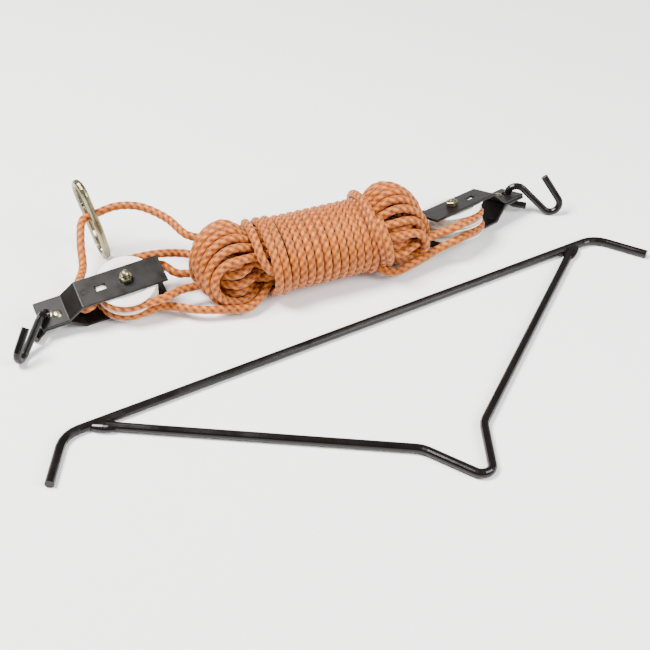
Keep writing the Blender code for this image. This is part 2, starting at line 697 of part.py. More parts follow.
def wrap(frame, height, start, stop):
    """Rope centre line round a sheave, from one angle to another in the block's frame."""
    steps = 9
    points = []
    for k in range(steps + 1):
        angle = math.radians(start + (stop - start) * k / steps)
        local = Vector((ROPE_SEAT * math.cos(angle), ROPE_SEAT * math.sin(angle), height))
        points.append(frame.matrix_basis @ local)
    return points


def strand(name, frame, height, arc, leave, ends):
    """A strand from the hank round a sheave and back: leave holds the two points where it
    clears the free end of the block, in the block's frame."""
    local = [frame.matrix_basis @ (Vector(point) * MM) for point in leave]
    route = list(reversed(ends[0])) + [local[0]] + wrap(frame, height, *arc) + [local[1]] + ends[1]
    tube(name, smooth(route, ROPE_SPACING), ROPE_DIAMETER, ROPE)


def build_rope(left, right, link):
    build_hank()
    strand("rope_left_upper", left, SHEAVE_CENTRE, (-92.0, 92.0),
           [(-34.0, -23.0, 6.0), (-26.0, 27.0, 6.6)],
           [hank_face(135.0, 31.0 * MM, -1), hank_face(178.0, 21.0 * MM, -1)])
    strand("rope_left_lower", left, -SHEAVE_CENTRE, (-92.0, 92.0),
           [(-38.0, -19.0, -6.5), (-26.0, 27.0, -6.6)],
           [hank_face(152.0, 20.0 * MM, -1), hank_face(204.0, 12.0 * MM, -1)])
    strand("rope_right_upper", right, SHEAVE_CENTRE, (92.0, -92.0),
           [(-24.0, 27.0, 6.6), (-24.0, -27.0, 6.6)],
           [hank_face(20.0, 24.0 * MM, 1), hank_face(-36.0, 29.0 * MM, 1)])
    strand("rope_right_lower", right, -SHEAVE_CENTRE, (92.0, -92.0),
           [(-24.0, 27.0, -6.6), (-24.0, -27.5, -6.6)],
           [hank_face(16.0, 10.0 * MM, 1), hank_face(-44.0, 18.0 * MM, 1)])

    ring_steps = 16
    ring = []
    start = Vector((BECKET_PIN_X, 0.0, 0.0))
    opening = math.radians(8.0)
    for k in range(ring_steps + 1):
        angle = opening + (math.tau - 2 * opening) * k / ring_steps
        ring.append(start + Vector((math.cos(angle), math.sin(angle), 0.0)) * KNOT_RING_RADIUS)
    seat(tube("rope_becket_loop", ring, ROPE_DIAMETER, ROPE), left)

    leave = KNOT_RING_RADIUS + ROPE_DIAMETER / 2 + 1.5 * GAP
    begin = [left.matrix_basis @ Vector((BECKET_PIN_X, -leave, 0.0)),
             left.matrix_basis @ Vector((BECKET_PIN_X, -leave - 9.0 * MM, 0.0))]
    climb = [Vector((-190.0, 176.0, 24.0)) * MM, Vector((-182.0, 198.0, 37.0)) * MM]
    through = [link.matrix_basis @ Vector((LINK_ROPE_SIDE, y, LINK_ROPE_HEIGHT))
               for y in (-9.0 * MM, 0.0, 9.0 * MM)]
    over = [Vector((-137.0, 218.0, 50.0)) * MM, Vector((-118.0, 207.0, 50.0)) * MM,
            Vector((-101.0, 181.0, 46.0)) * MM]
    route = begin + climb + through + over + hank_face(120.0, 42.0 * MM, -1)
    tube("rope_dead_end_strand", smooth(route, ROPE_SPACING), ROPE_DIAMETER, ROPE)


def gather(name, place):
    """Everything built since the last group moves together."""
    group = empty(name, place, (0.0, 0.0, 0.0))
    for item in bpy.data.objects:
        if item.parent is None and item.name not in ("gambrel", "hoist"):
            item.parent = group


build_gambrel()
gather("gambrel", GAMBREL_PLACE)
frames = {}
for block_side, (place, turn, stand) in BLOCKS.items():
    frames[block_side] = build_block(block_side, place, turn, stand)
    frames[block_side].rotation_mode = "XYZ"
bpy.context.view_layer.update()
build_becket(frames["left"])
for block_side, (heading, tip_length) in HOOKS.items():
    build_hook(block_side, frames[block_side], heading, tip_length)
link = link_frame()
bpy.context.view_layer.update()
build_link(link)
build_rope(frames["left"], frames["right"], link)
gather("hoist", HOIST_PLACE)
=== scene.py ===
"""Looks for the gambrel hoist kit: one continuous braided rope, its knotted eye, and the
finish of every steel and nylon piece. Everything is in metres, in the frame of the CAD part."""

import math

import bpy
import numpy as np
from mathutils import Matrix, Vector


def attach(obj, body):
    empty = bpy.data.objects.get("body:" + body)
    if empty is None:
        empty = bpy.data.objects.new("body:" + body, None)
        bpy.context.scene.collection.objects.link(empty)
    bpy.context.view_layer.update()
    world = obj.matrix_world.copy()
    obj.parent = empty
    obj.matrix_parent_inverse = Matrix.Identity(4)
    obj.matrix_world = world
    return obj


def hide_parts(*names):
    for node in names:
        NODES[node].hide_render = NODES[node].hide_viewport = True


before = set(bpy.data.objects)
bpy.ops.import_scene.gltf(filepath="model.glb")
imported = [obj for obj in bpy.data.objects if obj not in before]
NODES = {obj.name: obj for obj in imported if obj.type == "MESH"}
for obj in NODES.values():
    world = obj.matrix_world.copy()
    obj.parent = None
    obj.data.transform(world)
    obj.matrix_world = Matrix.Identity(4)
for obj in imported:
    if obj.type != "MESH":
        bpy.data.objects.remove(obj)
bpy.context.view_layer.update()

MM = 0.001

# ---------------------------------------------------------------- places shared with the CAD
HOIST_PLACE = np.array((3.3, -17.7, 0.0)) * MM
BLOCKS = {
    "left": ((-166.0, 127.5, 22.7), (-17.0, 4.4, 174.8)),
    "right": ((155.5, 71.5, 21.2), (-16.0, 2.6, 10.0)),
}
ROPE_DIAMETER = 8.0 * MM
ROPE_RADIUS = ROPE_DIAMETER / 2
ROPE_SEAT = 25.9             # radius of the rope's centre line round a sheave, in mm
SHEAVE_CENTRE = 6.65         # each sheave's distance from its block's middle plane
BECKET_PIN_X = 39.5
KNOT_RING_RADIUS = 6.9
LINK_FOOT = (-155.0, 207.0, 2.2)
LINK_TOP = (-166.5, 238.0, 78.2)
LINK_TURN = 13.0
LINK_ROPE_HEIGHT = 46.0
LINK_ROPE_SIDE = 4.5
HANK_CENTRE = (4.0, 93.0)
HANK_YAW = -8.0
HANK_LENGTH = 222.0
HANK_WIDTH = 78.0

# ---------------------------------------------------------------- how the hank is laid up
HANK_MIDDLE = 33.5           # height of the hank's axis above the floor, in mm
LEFT, RIGHT = -1, 1          # the two lobes
# Upright loops, from the near side to the far side: place across the hank, radius and middle
# height of the fold, share of the lobe's lift, and how much further the right fold reaches.
TALL_PLACES = (-32.5, -27.0, -19.5, -11.5, -3.0, 5.5, 13.5, 21.0, 27.5)
TALL_RADII = (17.0, 23.0, 27.5, 30.5, 31.5, 31.5, 30.0, 27.0, 21.5)
TALL_HEIGHTS = (-7.0, -4.5, -1.5, 0.5, 1.5, 1.5, 0.5, -1.0, -3.0)
TALL_LIFT = (0.0, 0.3, 0.65, 0.9, 1.0, 1.0, 1.0, 1.0, 0.9)
RIGHT_STRETCH = (8.0, 7.0, 3.0, 0.0, 0.0, 0.0, 0.0, 0.0, 0.0)
TALL_LOOPS = len(TALL_PLACES)
LOBE_LIFT = {LEFT: 5.0, RIGHT: 8.5}
# Level loops inside them, from the lowest to the highest.
FLAT_HEIGHTS = (-21.0, -14.0, -6.0, 2.0, 10.0)
FLAT_RADII = (25.0, 30.0, 32.5, 31.5, 26.5)
FLAT_LOOPS = len(FLAT_RADII)
FLAT_STRETCH = 6.0           # how much further they reach on the right
FLAT_INSET = 9.0             # how far their folds stay inside the upright ones
# The bundle under the wraps: an outer ring of strands, an inner ring and two in the heart.
RING_SLOTS = 20
RING_START = 158.0
RING_RADIUS = 25.2
INNER_RING_RADIUS = 16.6
INNER_STEP = 36.0            # degrees between strands of the inner ring
HEART = 4.2                  # distance of the two middle strands from the axis
CORE_SQUASH = 0.88           # the bundle is pressed a little flat
WRAP_TURNS = 13
WRAP_STEPS = 18              # points in each turn
WRAP_PITCH = 8.1
WRAP_START = -49.0
WRAP_SIDE = 37.5
WRAP_TOP = 28.5
WRAP_SHIFT = -3.5            # the turns bulge toward the near side
WRAP_DROP = -0.8
FIRST_SLACK = 2.4            # how proud the first two turns stand
CROSSING_STEPS = 30          # points in the turn laid across the last ones
CROSSING_RISE = 7.6
ROUTE_STEP = 4.0             # mm between the points that settle
SETTLE_ROUNDS = 110
LARGEST_MOVE = 1.5
PACKED = 0.97                # strands that touch press each other this much closer
BOW_LIMIT = 1.9              # how far 16 mm of rope may bow, which keeps its bends open
SMOOTH_ANGLE = 38.0          # facets that meet at less than this read as one round surface
WAIST = 50.0                 # half length of the bundle under the wraps

# How freely each stretch of rope may settle against its neighbours, from 0 to 1.
HELD = 0.0                   # in a sheave, the snap link or the open air
CROSSED = 0.05
WRAPPED = 0.12
LEADING = 0.2
EASED = 0.3                  # where a fall meets the hank
BULGED = 0.5
BURIED = 0.6
LOOSE = 1.0


# ---------------------------------------------------------------- small geometry helpers
def unit(vector):
    return vector / np.linalg.norm(vector)


def turn_matrix(roll, pitch, yaw):
    """Rotation by roll about X, then pitch about Y, then yaw about Z, in degrees."""
    a, b, c = (math.radians(v) for v in (roll, pitch, yaw))
    rx = np.array(((1, 0, 0), (0, math.cos(a), -math.sin(a)), (0, math.sin(a), math.cos(a))))
    ry = np.array(((math.cos(b), 0, math.sin(b)), (0, 1, 0), (-math.sin(b), 0, math.cos(b))))
    rz = np.array(((math.cos(c), -math.sin(c), 0), (math.sin(c), math.cos(c), 0), (0, 0, 1)))
    return rz @ ry @ rx


def block_point(side, point):
    """A point given in a block's own axes: along it, across it, and along its axle."""
    place, turn = BLOCKS[side]
    return np.array(place) + turn_matrix(*turn) @ np.array(point, float)


def link_point(point):
    """A point given in the snap link's own axes: width, thickness and length."""
    foot = np.array(LINK_FOOT)
    length_axis = unit(np.array(LINK_TOP) - foot)
    facing = np.array((-0.235, -0.798, 0.555))
    width_axis = unit(facing - length_axis * facing.dot(length_axis))
    cross_axis = np.cross(length_axis, width_axis)
    turn = math.radians(LINK_TURN)
    width_axis = width_axis * math.cos(turn) + cross_axis * math.sin(turn)
    cross_axis = np.cross(length_axis, width_axis)
    return foot + width_axis * point[0] + cross_axis * point[1] + length_axis * point[2]


def hank_point(x, y, z):
    """A point given along, across and above the hank's axis, in mm."""
    yaw = math.radians(HANK_YAW)
    return np.array((HANK_CENTRE[0] + x * math.cos(yaw) - y * math.sin(yaw),
                     HANK_CENTRE[1] + x * math.sin(yaw) + y * math.cos(yaw), HANK_MIDDLE + z))


def hank_face(angle, height, side):
    """Two points where a strand meets the round end of the hank, outer one first."""
    yaw = math.radians(HANK_YAW)
    half = (HANK_LENGTH - HANK_WIDTH) / 2 * side
    centre = np.array((HANK_CENTRE[0] + half * math.cos(yaw),
                       HANK_CENTRE[1] + half * math.sin(yaw), height))
    out = np.array((math.cos(math.radians(angle)), math.sin(math.radians(angle)), 0.0))
    return [centre + out * (HANK_WIDTH / 2 + 16.0), centre + out * (HANK_WIDTH / 2 + 0.6)]


def smooth_step(value, low, high):
    t = np.clip((value - low) / (high - low), 0.0, 1.0)
    return t * t * (3 - 2 * t)


def through(points, spacing):
    """Evenly spaced points on a smooth curve through the given ones (centripetal)."""
    p = np.array(points, float)
    p = np.vstack((2 * p[0] - p[1], p, 2 * p[-1] - p[-2]))
    fine = []
    shares = np.linspace(0.0, 1.0, 12, endpoint=False)[:, None]
    for a, b, c, d in zip(p[:-3], p[1:-2], p[2:-1], p[3:]):
        t1 = max(np.linalg.norm(b - a), 1e-6) ** 0.5
        t2 = max(np.linalg.norm(c - b), 1e-6) ** 0.5
        t3 = max(np.linalg.norm(d - c), 1e-6) ** 0.5
        m1 = ((b - a) / t1 - (c - a) / (t1 + t2) + (c - b) / t2) * t2
        m2 = ((c - b) / t2 - (d - b) / (t2 + t3) + (d - c) / t3) * t2
        fine.append(b + m1 * shares + (3 * (c - b) - 2 * m1 - m2) * shares ** 2
                    + (2 * (b - c) + m1 + m2) * shares ** 3)
    fine = np.vstack((*fine, p[-2]))
    walked = np.concatenate(((0.0,), np.cumsum(np.linalg.norm(np.diff(fine, axis=0), axis=1))))
    stops = np.linspace(0.0, walked[-1], max(2, round(walked[-1] / spacing)) + 1)
    return np.column_stack([np.interp(stops, walked, fine[:, k]) for k in range(3)])


# ---------------------------------------------------------------- the rope's route, in mm
class Route:
    """The rope's centre line, and how freely each point may settle against its neighbours."""

    def __init__(self):
        self.points = []
        self.freedom = []

    def add(self, points, freedom):
        for point in points:
            self.points.append(np.array(point, float))
            self.freedom.append(freedom)

    def finish(self, spacing):
        points = np.array(self.points)
        fine = through(points, spacing)
        knots = np.concatenate(((0.0,), np.cumsum(np.linalg.norm(np.diff(points, axis=0), axis=1))))
        stops = np.linspace(0.0, knots[-1], len(fine))
        return fine, np.interp(stops, knots, self.freedom)


def ring_slot(index):
    """Place across and above the axis of a strand in the bundle's outer ring."""
    angle = math.radians(RING_START - 360.0 * index / RING_SLOTS)
    return np.array((RING_RADIUS * math.cos(angle), CORE_SQUASH * RING_RADIUS * math.sin(angle)))


def inner_slot(angle):
    """Place of a strand in the inner ring, by its angle."""
    turn = math.radians(angle)
    return np.array((INNER_RING_RADIUS * math.cos(turn), CORE_SQUASH * INNER_RING_RADIUS * math.sin(turn)))


def bundle_run(left, core, right, start, stop):
    """A strand along the hank from x = start to stop: pressed to its core place under the
    wraps, spread to its left or right place in the lobes."""
    count = max(4, round(abs(stop - start) / 9.0))
    points = []
    for x in np.linspace(start, stop, count):
        share_left = 1.0 - smooth_step(x, -WAIST - 30.0, -WAIST)
        share_right = smooth_step(x, WAIST, WAIST + 30.0)
        share_core = 1.0 - share_left - share_right
        y, z = left * share_left + core * share_core + right * share_right
        points.append(hank_point(x, y, z))
    return points


def lobe_end(y):
    """How far along the hank the folds reach: the outer ones are a little shorter."""
    return HANK_LENGTH / 2 - 2.0 - 9.0 * (y / 33.0) ** 2


def fold(side, first_place, last_place, end):
    """Half a turn at the end of the hank, between two places given across and above its axis."""
    middle = (first_place + last_place) / 2
    half = (first_place - last_place) / 2
    radius = np.linalg.norm(half)
    points = []
    for angle in np.radians(np.linspace(0.0, 180.0, 10)[1:-1]):
        y, z = middle + half * math.cos(angle)
        points.append(hank_point(side * (end - radius + radius * math.sin(angle)), y, z))
    return points


def sheave_wrap(side, height, start, stop):
    angles = np.radians(np.linspace(start, stop, 10))
    return [block_point(side, (ROPE_SEAT * math.cos(a), ROPE_SEAT * math.sin(a), height)) for a in angles]


def falls(route):
    """Dead end, snap link, then to and fro between the two blocks."""
    leave = KNOT_RING_RADIUS + 4.45
    route.add([block_point("left", (BECKET_PIN_X, -leave, 0.0)),
               block_point("left", (BECKET_PIN_X, -leave - 9.0, 0.0)),
               (-190.0, 176.0, 24.0), (-182.0, 198.0, 37.0)], HELD)
    route.add([link_point((LINK_ROPE_SIDE, y, LINK_ROPE_HEIGHT)) for y in (-9.0, 0.0, 9.0)], HELD)
    route.add([(-137.0, 218.0, 50.0), (-118.0, 207.0, 50.0), (-101.0, 181.0, 46.0)], HELD)
    route.add(hank_face(120.0, 42.0, LEFT), EASED)
    route.add([hank_point(-84.0, 18.0, 8.0), hank_point(-68.0, 6.0, 5.0)], BURIED)
    middle = np.array((0.0, HEART))
    route.add(bundle_run(middle, middle, middle, -WAIST, WAIST), BURIED)
    route.add([hank_point(70.0, 4.0, 2.0), hank_point(90.0, 11.0, -5.0)], BURIED)

    route.add(hank_face(20.0, 24.0, RIGHT)[1:], EASED)
    route.add([block_point("right", (-24.0, 27.0, 6.6))], HELD)
    route.add(sheave_wrap("right", SHEAVE_CENTRE, 92.0, -92.0), HELD)
    route.add([block_point("right", (-24.0, -27.0, 6.6))], HELD)
    route.add(hank_face(-36.0, 29.0, RIGHT)[:1], EASED)
    route.add([hank_point(93.0, -35.0, -7.0), hank_point(76.0, -39.5, -10.0),
               hank_point(60.0, -33.0, -8.0)], BULGED)
    near = ring_slot(19)
    route.add(bundle_run(near, near, near, 46.0, -48.0), BURIED)
    route.add([hank_point(-66.0, -12.0, 0.0), hank_point(-86.0, 8.0, -1.0)], BURIED)

    route.add(reversed(hank_face(135.0, 31.0, LEFT)), EASED)
    route.add([block_point("left", (-34.0, -23.0, 6.0))], HELD)
    route.add(sheave_wrap("left", SHEAVE_CENTRE, -92.0, 92.0), HELD)
    route.add([block_point("left", (-26.0, 27.0, 6.6))], HELD)
    route.add(hank_face(178.0, 21.0, LEFT), EASED)
    middle = np.array((0.0, -HEART))
    route.add([hank_point(-92.0, -3.0, -8.0), hank_point(-70.0, -1.0, -5.0)], BURIED)
    route.add(bundle_run(middle, middle, middle, -WAIST, WAIST), BURIED)
    route.add([hank_point(70.0, 2.0, -8.0), hank_point(90.0, 9.0, -18.0)], BURIED)

    route.add(hank_face(16.0, 10.0, RIGHT)[1:], EASED)
    route.add([block_point("right", (-24.0, 27.0, -6.6))], HELD)
    route.add(sheave_wrap("right", -SHEAVE_CENTRE, 92.0, -92.0), HELD)
    route.add([block_point("right", (-24.0, -27.5, -6.6))], HELD)
    route.add(hank_face(-44.0, 18.0, RIGHT)[:1], EASED)
    route.add([hank_point(90.0, -38.0, -18.0), hank_point(73.0, -40.0, -20.0),
               hank_point(58.0, -32.0, -15.0)], BULGED)
    near = ring_slot(18)
    route.add(bundle_run(near, near, near, 46.0, -48.0), BURIED)
    route.add([hank_point(-66.0, -14.0, -8.0), hank_point(-88.0, -2.0, -12.0)], BURIED)

    route.add(reversed(hank_face(152.0, 20.0, LEFT)), EASED)
    route.add([block_point("left", (-38.0, -19.0, -6.5))], HELD)
    route.add(sheave_wrap("left", -SHEAVE_CENTRE, -92.0, 92.0), HELD)
    route.add([block_point("left", (-26.0, 27.0, -6.6))], HELD)
    route.add(hank_face(204.0, 12.0, LEFT)[:1], EASED)
    route.add([hank_point(-91.0, -36.0, -23.0), hank_point(-74.0, -38.5, -24.0),
               hank_point(-60.0, -31.0, -20.0)], BULGED)


def flat_loops(route):
    """The first loops of spare rope, lying level in the heart of the hank."""
    near = [np.array((-radius, height)) for radius, height in zip(FLAT_RADII, FLAT_HEIGHTS)]
    far = [np.array((radius, height)) for radius, height in zip(FLAT_RADII, FLAT_HEIGHTS)]
    end = lobe_end(0.0) - FLAT_INSET
    for k in range(FLAT_LOOPS):
        reach = end - FLAT_RADII[k]
        right_reach = reach + FLAT_STRETCH
        start = -48.0 if k == 0 else -reach
        near_core = ring_slot(17) if k == 0 else inner_slot(252.0 - INNER_STEP * k)
        route.add(bundle_run(near[k], near_core, near[k], start, right_reach), LOOSE)
        route.add(fold(RIGHT, near[k], far[k], end + FLAT_STRETCH), LOOSE)
        route.add(bundle_run(far[k], inner_slot(-72.0 + INNER_STEP * k), far[k], right_reach, -reach), LOOSE)
        if k < FLAT_LOOPS - 1:
            route.add(fold(LEFT, far[k], near[k + 1], end), LOOSE)
    return far[-1]


def tall_loops(route, last_place):
    """The upright loops that make the two lobes, laid from the far side to the near side."""
    lows = [np.array((y, z - r)) for y, z, r in zip(TALL_PLACES, TALL_HEIGHTS, TALL_RADII)]
    highs = {side: [np.array((y, z + r + LOBE_LIFT[side] * share)) for y, z, r, share
                    in zip(TALL_PLACES, TALL_HEIGHTS, TALL_RADII, TALL_LIFT)] for side in LOBE_LIFT}
    route.add(fold(LEFT, last_place, lows[-1], lobe_end(0.0) - 6.0), LOOSE)
    for k in range(TALL_LOOPS - 1, -1, -1):
        left_end = lobe_end(TALL_PLACES[k])
        right_end = left_end + RIGHT_STRETCH[k]
        left_reach = left_end - TALL_RADII[k] - LOBE_LIFT[LEFT] * TALL_LIFT[k] / 2
        right_reach = right_end - TALL_RADII[k] - LOBE_LIFT[RIGHT] * TALL_LIFT[k] / 2
        low_core = ring_slot(16 - k)
        high_core = inner_slot(90.0) if k == TALL_LOOPS - 1 else ring_slot(k)
        route.add(bundle_run(lows[k], low_core, lows[k], -left_reach, right_reach), LOOSE)
        route.add(fold(RIGHT, lows[k], highs[RIGHT][k], right_end), LOOSE)
        stop = -left_reach if k > 0 else -22.0
        route.add(bundle_run(highs[LEFT][k], high_core, highs[RIGHT][k], right_reach, stop), LOOSE)
        if k > 0:
            route.add(fold(LEFT, highs[LEFT][k], lows[k - 1], left_end), LOOSE)


def wrap_point(x, angle, grow=0.0):
    """A point on the turns round the middle, at an angle about the axis."""
    turn = math.radians(angle)
    y = WRAP_SHIFT + (WRAP_SIDE + grow) * math.cos(turn)
    return hank_point(x, y, WRAP_DROP + (WRAP_TOP + grow) * math.sin(turn))


def wraps(route):
    """Round turns over the middle, two slack ones first, and a last turn laid across them."""
    lead = ((-36.0, 172.0, -9.0), (-46.0, 171.0, -5.5), (-53.0, 160.0, 0.0), (-57.5, 138.0, 3.4),
            (-58.0, 117.0, 3.8), (-57.5, 96.0, 3.6), (-56.0, 72.0, 3.2), (-54.0, 46.0, 2.6),
            (-51.5, 20.0, 2.4))
    route.add([wrap_point(*stop) for stop in lead], LEADING)
    for k in range(WRAP_TURNS * WRAP_STEPS + 1):
        share = k / WRAP_STEPS
        slack = FIRST_SLACK * (1.0 - smooth_step(share, 1.7, 2.4))
        x = WRAP_START + WRAP_PITCH * share + 0.9 * slack * math.sin(math.tau * share)
        route.add([wrap_point(x, -360.0 * share, slack)], WRAPPED)
    last_x = WRAP_START + WRAP_PITCH * WRAP_TURNS
    for k in range(1, CROSSING_STEPS + 1):
        share = k / WRAP_STEPS
        angle = -360.0 * share
        height = math.sin(math.radians(angle))
        over = smooth_step(height, -0.45, 0.3) * smooth_step(share, 0.3, 0.7)
        x = last_x + 3.0 - 6.5 * height * smooth_step(share, 0.1, 0.4) + 2.0 * share
        route.add([wrap_point(x, angle, CROSSING_RISE * over)], CROSSED)


def settle(base, freedom):
    """Strands that lie in each other push apart, tight bends open, and nothing sinks into
    the floor."""
    shift = np.zeros_like(base)
    apart = ROPE_DIAMETER / MM * PACKED
    neighbours = 6           # points this near along the rope don't push each other
    for _ in range(SETTLE_ROUNDS):
        here = base + shift
        small = here.astype(np.float32)
        square = (small ** 2).sum(1)
        gap = square[:, None] + square[None, :] - 2.0 * small @ small.T
        first, second = np.nonzero(gap < apart ** 2)
        keep = second - first > neighbours
        first, second = first[keep], second[keep]
        away = here[first] - here[second]
        distance = np.maximum(np.linalg.norm(away, axis=1), 0.2)
        push = away / distance[:, None] * (apart - distance)[:, None] * 0.5
        total = freedom[first] + freedom[second] + 1e-6
        move = np.zeros_like(base)
        np.add.at(move, first, push * (freedom[first] / total)[:, None])
        np.add.at(move, second, -push * (freedom[second] / total)[:, None])
        shift += np.clip(move, -LARGEST_MOVE, LARGEST_MOVE) * (freedom > 0)[:, None]
        here = base + shift
        bow = (here[:-4] + here[4:]) / 2 - here[2:-2]
        depth = np.linalg.norm(bow, axis=1)
        ease = np.clip(depth - BOW_LIMIT, 0.0, LARGEST_MOVE) * 0.5 / np.maximum(depth, 0.1)
        shift[2:-2] += bow * ease[:, None]
        spread = shift.copy()
        spread[1:-1] = shift[1:-1] * 0.5 + (shift[:-2] + shift[2:]) * 0.25
        shift = spread * smooth_step(freedom, 0.0, 0.08)[:, None]
        low = base[:, 2] + shift[:, 2] < ROPE_RADIUS / MM
        shift[low, 2] = ROPE_RADIUS / MM - base[low, 2]
    return base + shift


# ---------------------------------------------------------------- braided rope mesh
BRAID_SIDES = 16
BRAID_STEP = 1.5 * MM
BRAID_STRANDS = 3            # in each direction
BRAID_PITCH = 7.6 * MM
ATTRIBUTE_LAY = "lay"
ATTRIBUTE_TINT = "tint"


def braid_height(around, along):
    """Height of the plaited surface, 0 in the valleys and 1 on the crowns, and a yarn number."""
    u = BRAID_STRANDS * around + along / BRAID_PITCH
    v = BRAID_STRANDS * around - along / BRAID_PITCH
    cell = np.where((np.floor(u) + np.floor(v)) % 2 == 0, 1.0, -1.0)
    swell_u = np.sin(np.pi * (u % 1.0))
    swell_v = np.sin(np.pi * (v % 1.0))
    rise_u = swell_u ** 0.8 * (0.62 + 0.24 * cell * swell_v)
    rise_v = swell_v ** 0.8 * (0.76 - 0.24 * cell * swell_u)
    yarn = np.where(rise_u > rise_v, np.floor(u) % 5, np.floor(v) % 7)
    return np.maximum(rise_u, rise_v), yarn / 7.0


def braided_tube(name, path, material):
    """A plaited rope as one closed mesh along path, with a rounded, sealed tip at each end."""
    count = len(path)
    tangents = np.gradient(path, axis=0)
    tangents /= np.linalg.norm(tangents, axis=1)[:, None]
    sides = np.zeros_like(path)
    side = unit(np.cross(tangents[0], (0.3, 0.2, 0.9)))
    for k in range(count):
        side = unit(side - tangents[k] * side.dot(tangents[k]))
        sides[k] = side
    ups = np.cross(tangents, sides)
    along = np.concatenate(((0.0,), np.cumsum(np.linalg.norm(np.diff(path, axis=0), axis=1))))
    around = np.arange(BRAID_SIDES) / BRAID_SIDES
    lay, yarn = braid_height(around[None, :], along[:, None])
    radius = ROPE_RADIUS * (0.82 + 0.23 * lay)
    tip = np.minimum(along, along[-1] - along)
    taper = np.sqrt(np.clip(1.0 - (1.0 - tip / ROPE_RADIUS) ** 2, 0.06, 1.0))
    taper[tip >= ROPE_RADIUS] = 1.0
    radius = radius * taper[:, None]
    turn = math.tau * around
    rings = (path[:, None, :] + radius[:, :, None] * (sides[:, None, :] * np.cos(turn)[None, :, None]
                                                      + ups[:, None, :] * np.sin(turn)[None, :, None]))
    vertices = rings.reshape(-1, 3)
    row = np.arange(count - 1)[:, None] * BRAID_SIDES
    column = np.arange(BRAID_SIDES)[None, :]
    after = (column + 1) % BRAID_SIDES
    above = row + BRAID_SIDES
    quads = np.stack((row + column, row + after, above + after, above + column), axis=-1)
    last = (count - 1) * BRAID_SIDES
    faces = quads.reshape(-1, 4).tolist()
    faces.append(list(range(BRAID_SIDES))[::-1])
    faces.append(list(range(last, last + BRAID_SIDES)))
    mesh = bpy.data.meshes.new(name)
    mesh.from_pydata(vertices.tolist(), [], faces)
    mesh.shade_smooth()
    for label, values in ((ATTRIBUTE_LAY, lay), (ATTRIBUTE_TINT, yarn)):
        attribute = mesh.attributes.new(label, "FLOAT", "POINT")
        attribute.data.foreach_set("value", values.astype(np.float32).ravel())
    mesh.materials.append(material)
    item = bpy.data.objects.new(name, mesh)
    bpy.context.scene.collection.objects.link(item)
    return item


# ---------------------------------------------------------------- materials
class Shading:
    """A material and short ways to wire its nodes."""

    def __init__(self, name):
        self.material = bpy.data.materials.new(name)
        self.material.use_nodes = True
        self.nodes = self.material.node_tree.nodes
        self.links = self.material.node_tree.links
        self.shader = self.nodes["Principled BSDF"]
        place = self.nodes.new("ShaderNodeTexCoord")
        self.place = place.outputs["Object"]

    def set(self, **values):
        for label, value in values.items():
            self.shader.inputs[label.replace("_", " ")].default_value = value

    def noise(self, scale, detail=4.0, roughness=0.55, vector=None):
        node = self.nodes.new("ShaderNodeTexNoise")
        node.inputs["Scale"].default_value = scale
        node.inputs["Detail"].default_value = detail
        node.inputs["Roughness"].default_value = roughness
        self.links.new(vector or self.place, node.inputs["Vector"])
        return node.outputs["Fac"]

    def stretch(self, scale):
        node = self.nodes.new("ShaderNodeMapping")
        node.inputs["Scale"].default_value = scale
        self.links.new(self.place, node.inputs["Vector"])
        return node.outputs["Vector"]

    def attribute(self, label):
        node = self.nodes.new("ShaderNodeAttribute")
        node.attribute_name = label
        return node.outputs["Fac"]

    def ramp(self, value, *stops):
        node = self.nodes.new("ShaderNodeValToRGB")
        ramp = node.color_ramp
        while len(ramp.elements) < len(stops):
            ramp.elements.new(0.5)
        for element, (position, colour) in zip(ramp.elements, stops):
            element.position = position
            element.color = (*colour, 1.0)
        self.links.new(value, node.inputs["Fac"])
        return node.outputs["Color"]

    def span(self, value, low, high, start=0.0, stop=1.0):
        node = self.nodes.new("ShaderNodeMapRange")
        for label, number in (("From Min", low), ("From Max", high), ("To Min", start), ("To Max", stop)):
            node.inputs[label].default_value = number
        self.links.new(value, node.inputs["Value"])
        return node.outputs["Result"]

    def mix(self, factor, first, second, blend="MIX"):
        node = self.nodes.new("ShaderNodeMix")
        node.data_type = "RGBA"
        node.blend_type = blend
        for slot, value in (("Factor", factor), ("A", first), ("B", second)):
            target = [s for s in node.inputs if s.name == slot and s.enabled][0]
            if isinstance(value, (float, int)):
                target.default_value = value
            elif isinstance(value, tuple):
                target.default_value = (*value, 1.0)
            else:
                self.links.new(value, target)
        return [s for s in node.outputs if s.enabled][0]

    def bump(self, height, strength, distance, under=None):
        node = self.nodes.new("ShaderNodeBump")
        node.inputs["Strength"].default_value = strength
        node.inputs["Distance"].default_value = distance
        self.links.new(height, node.inputs["Height"])
        if under:
            self.links.new(under, node.inputs["Normal"])
        return node.outputs["Normal"]

    def wire(self, output, label):
        self.links.new(output, self.shader.inputs[label])


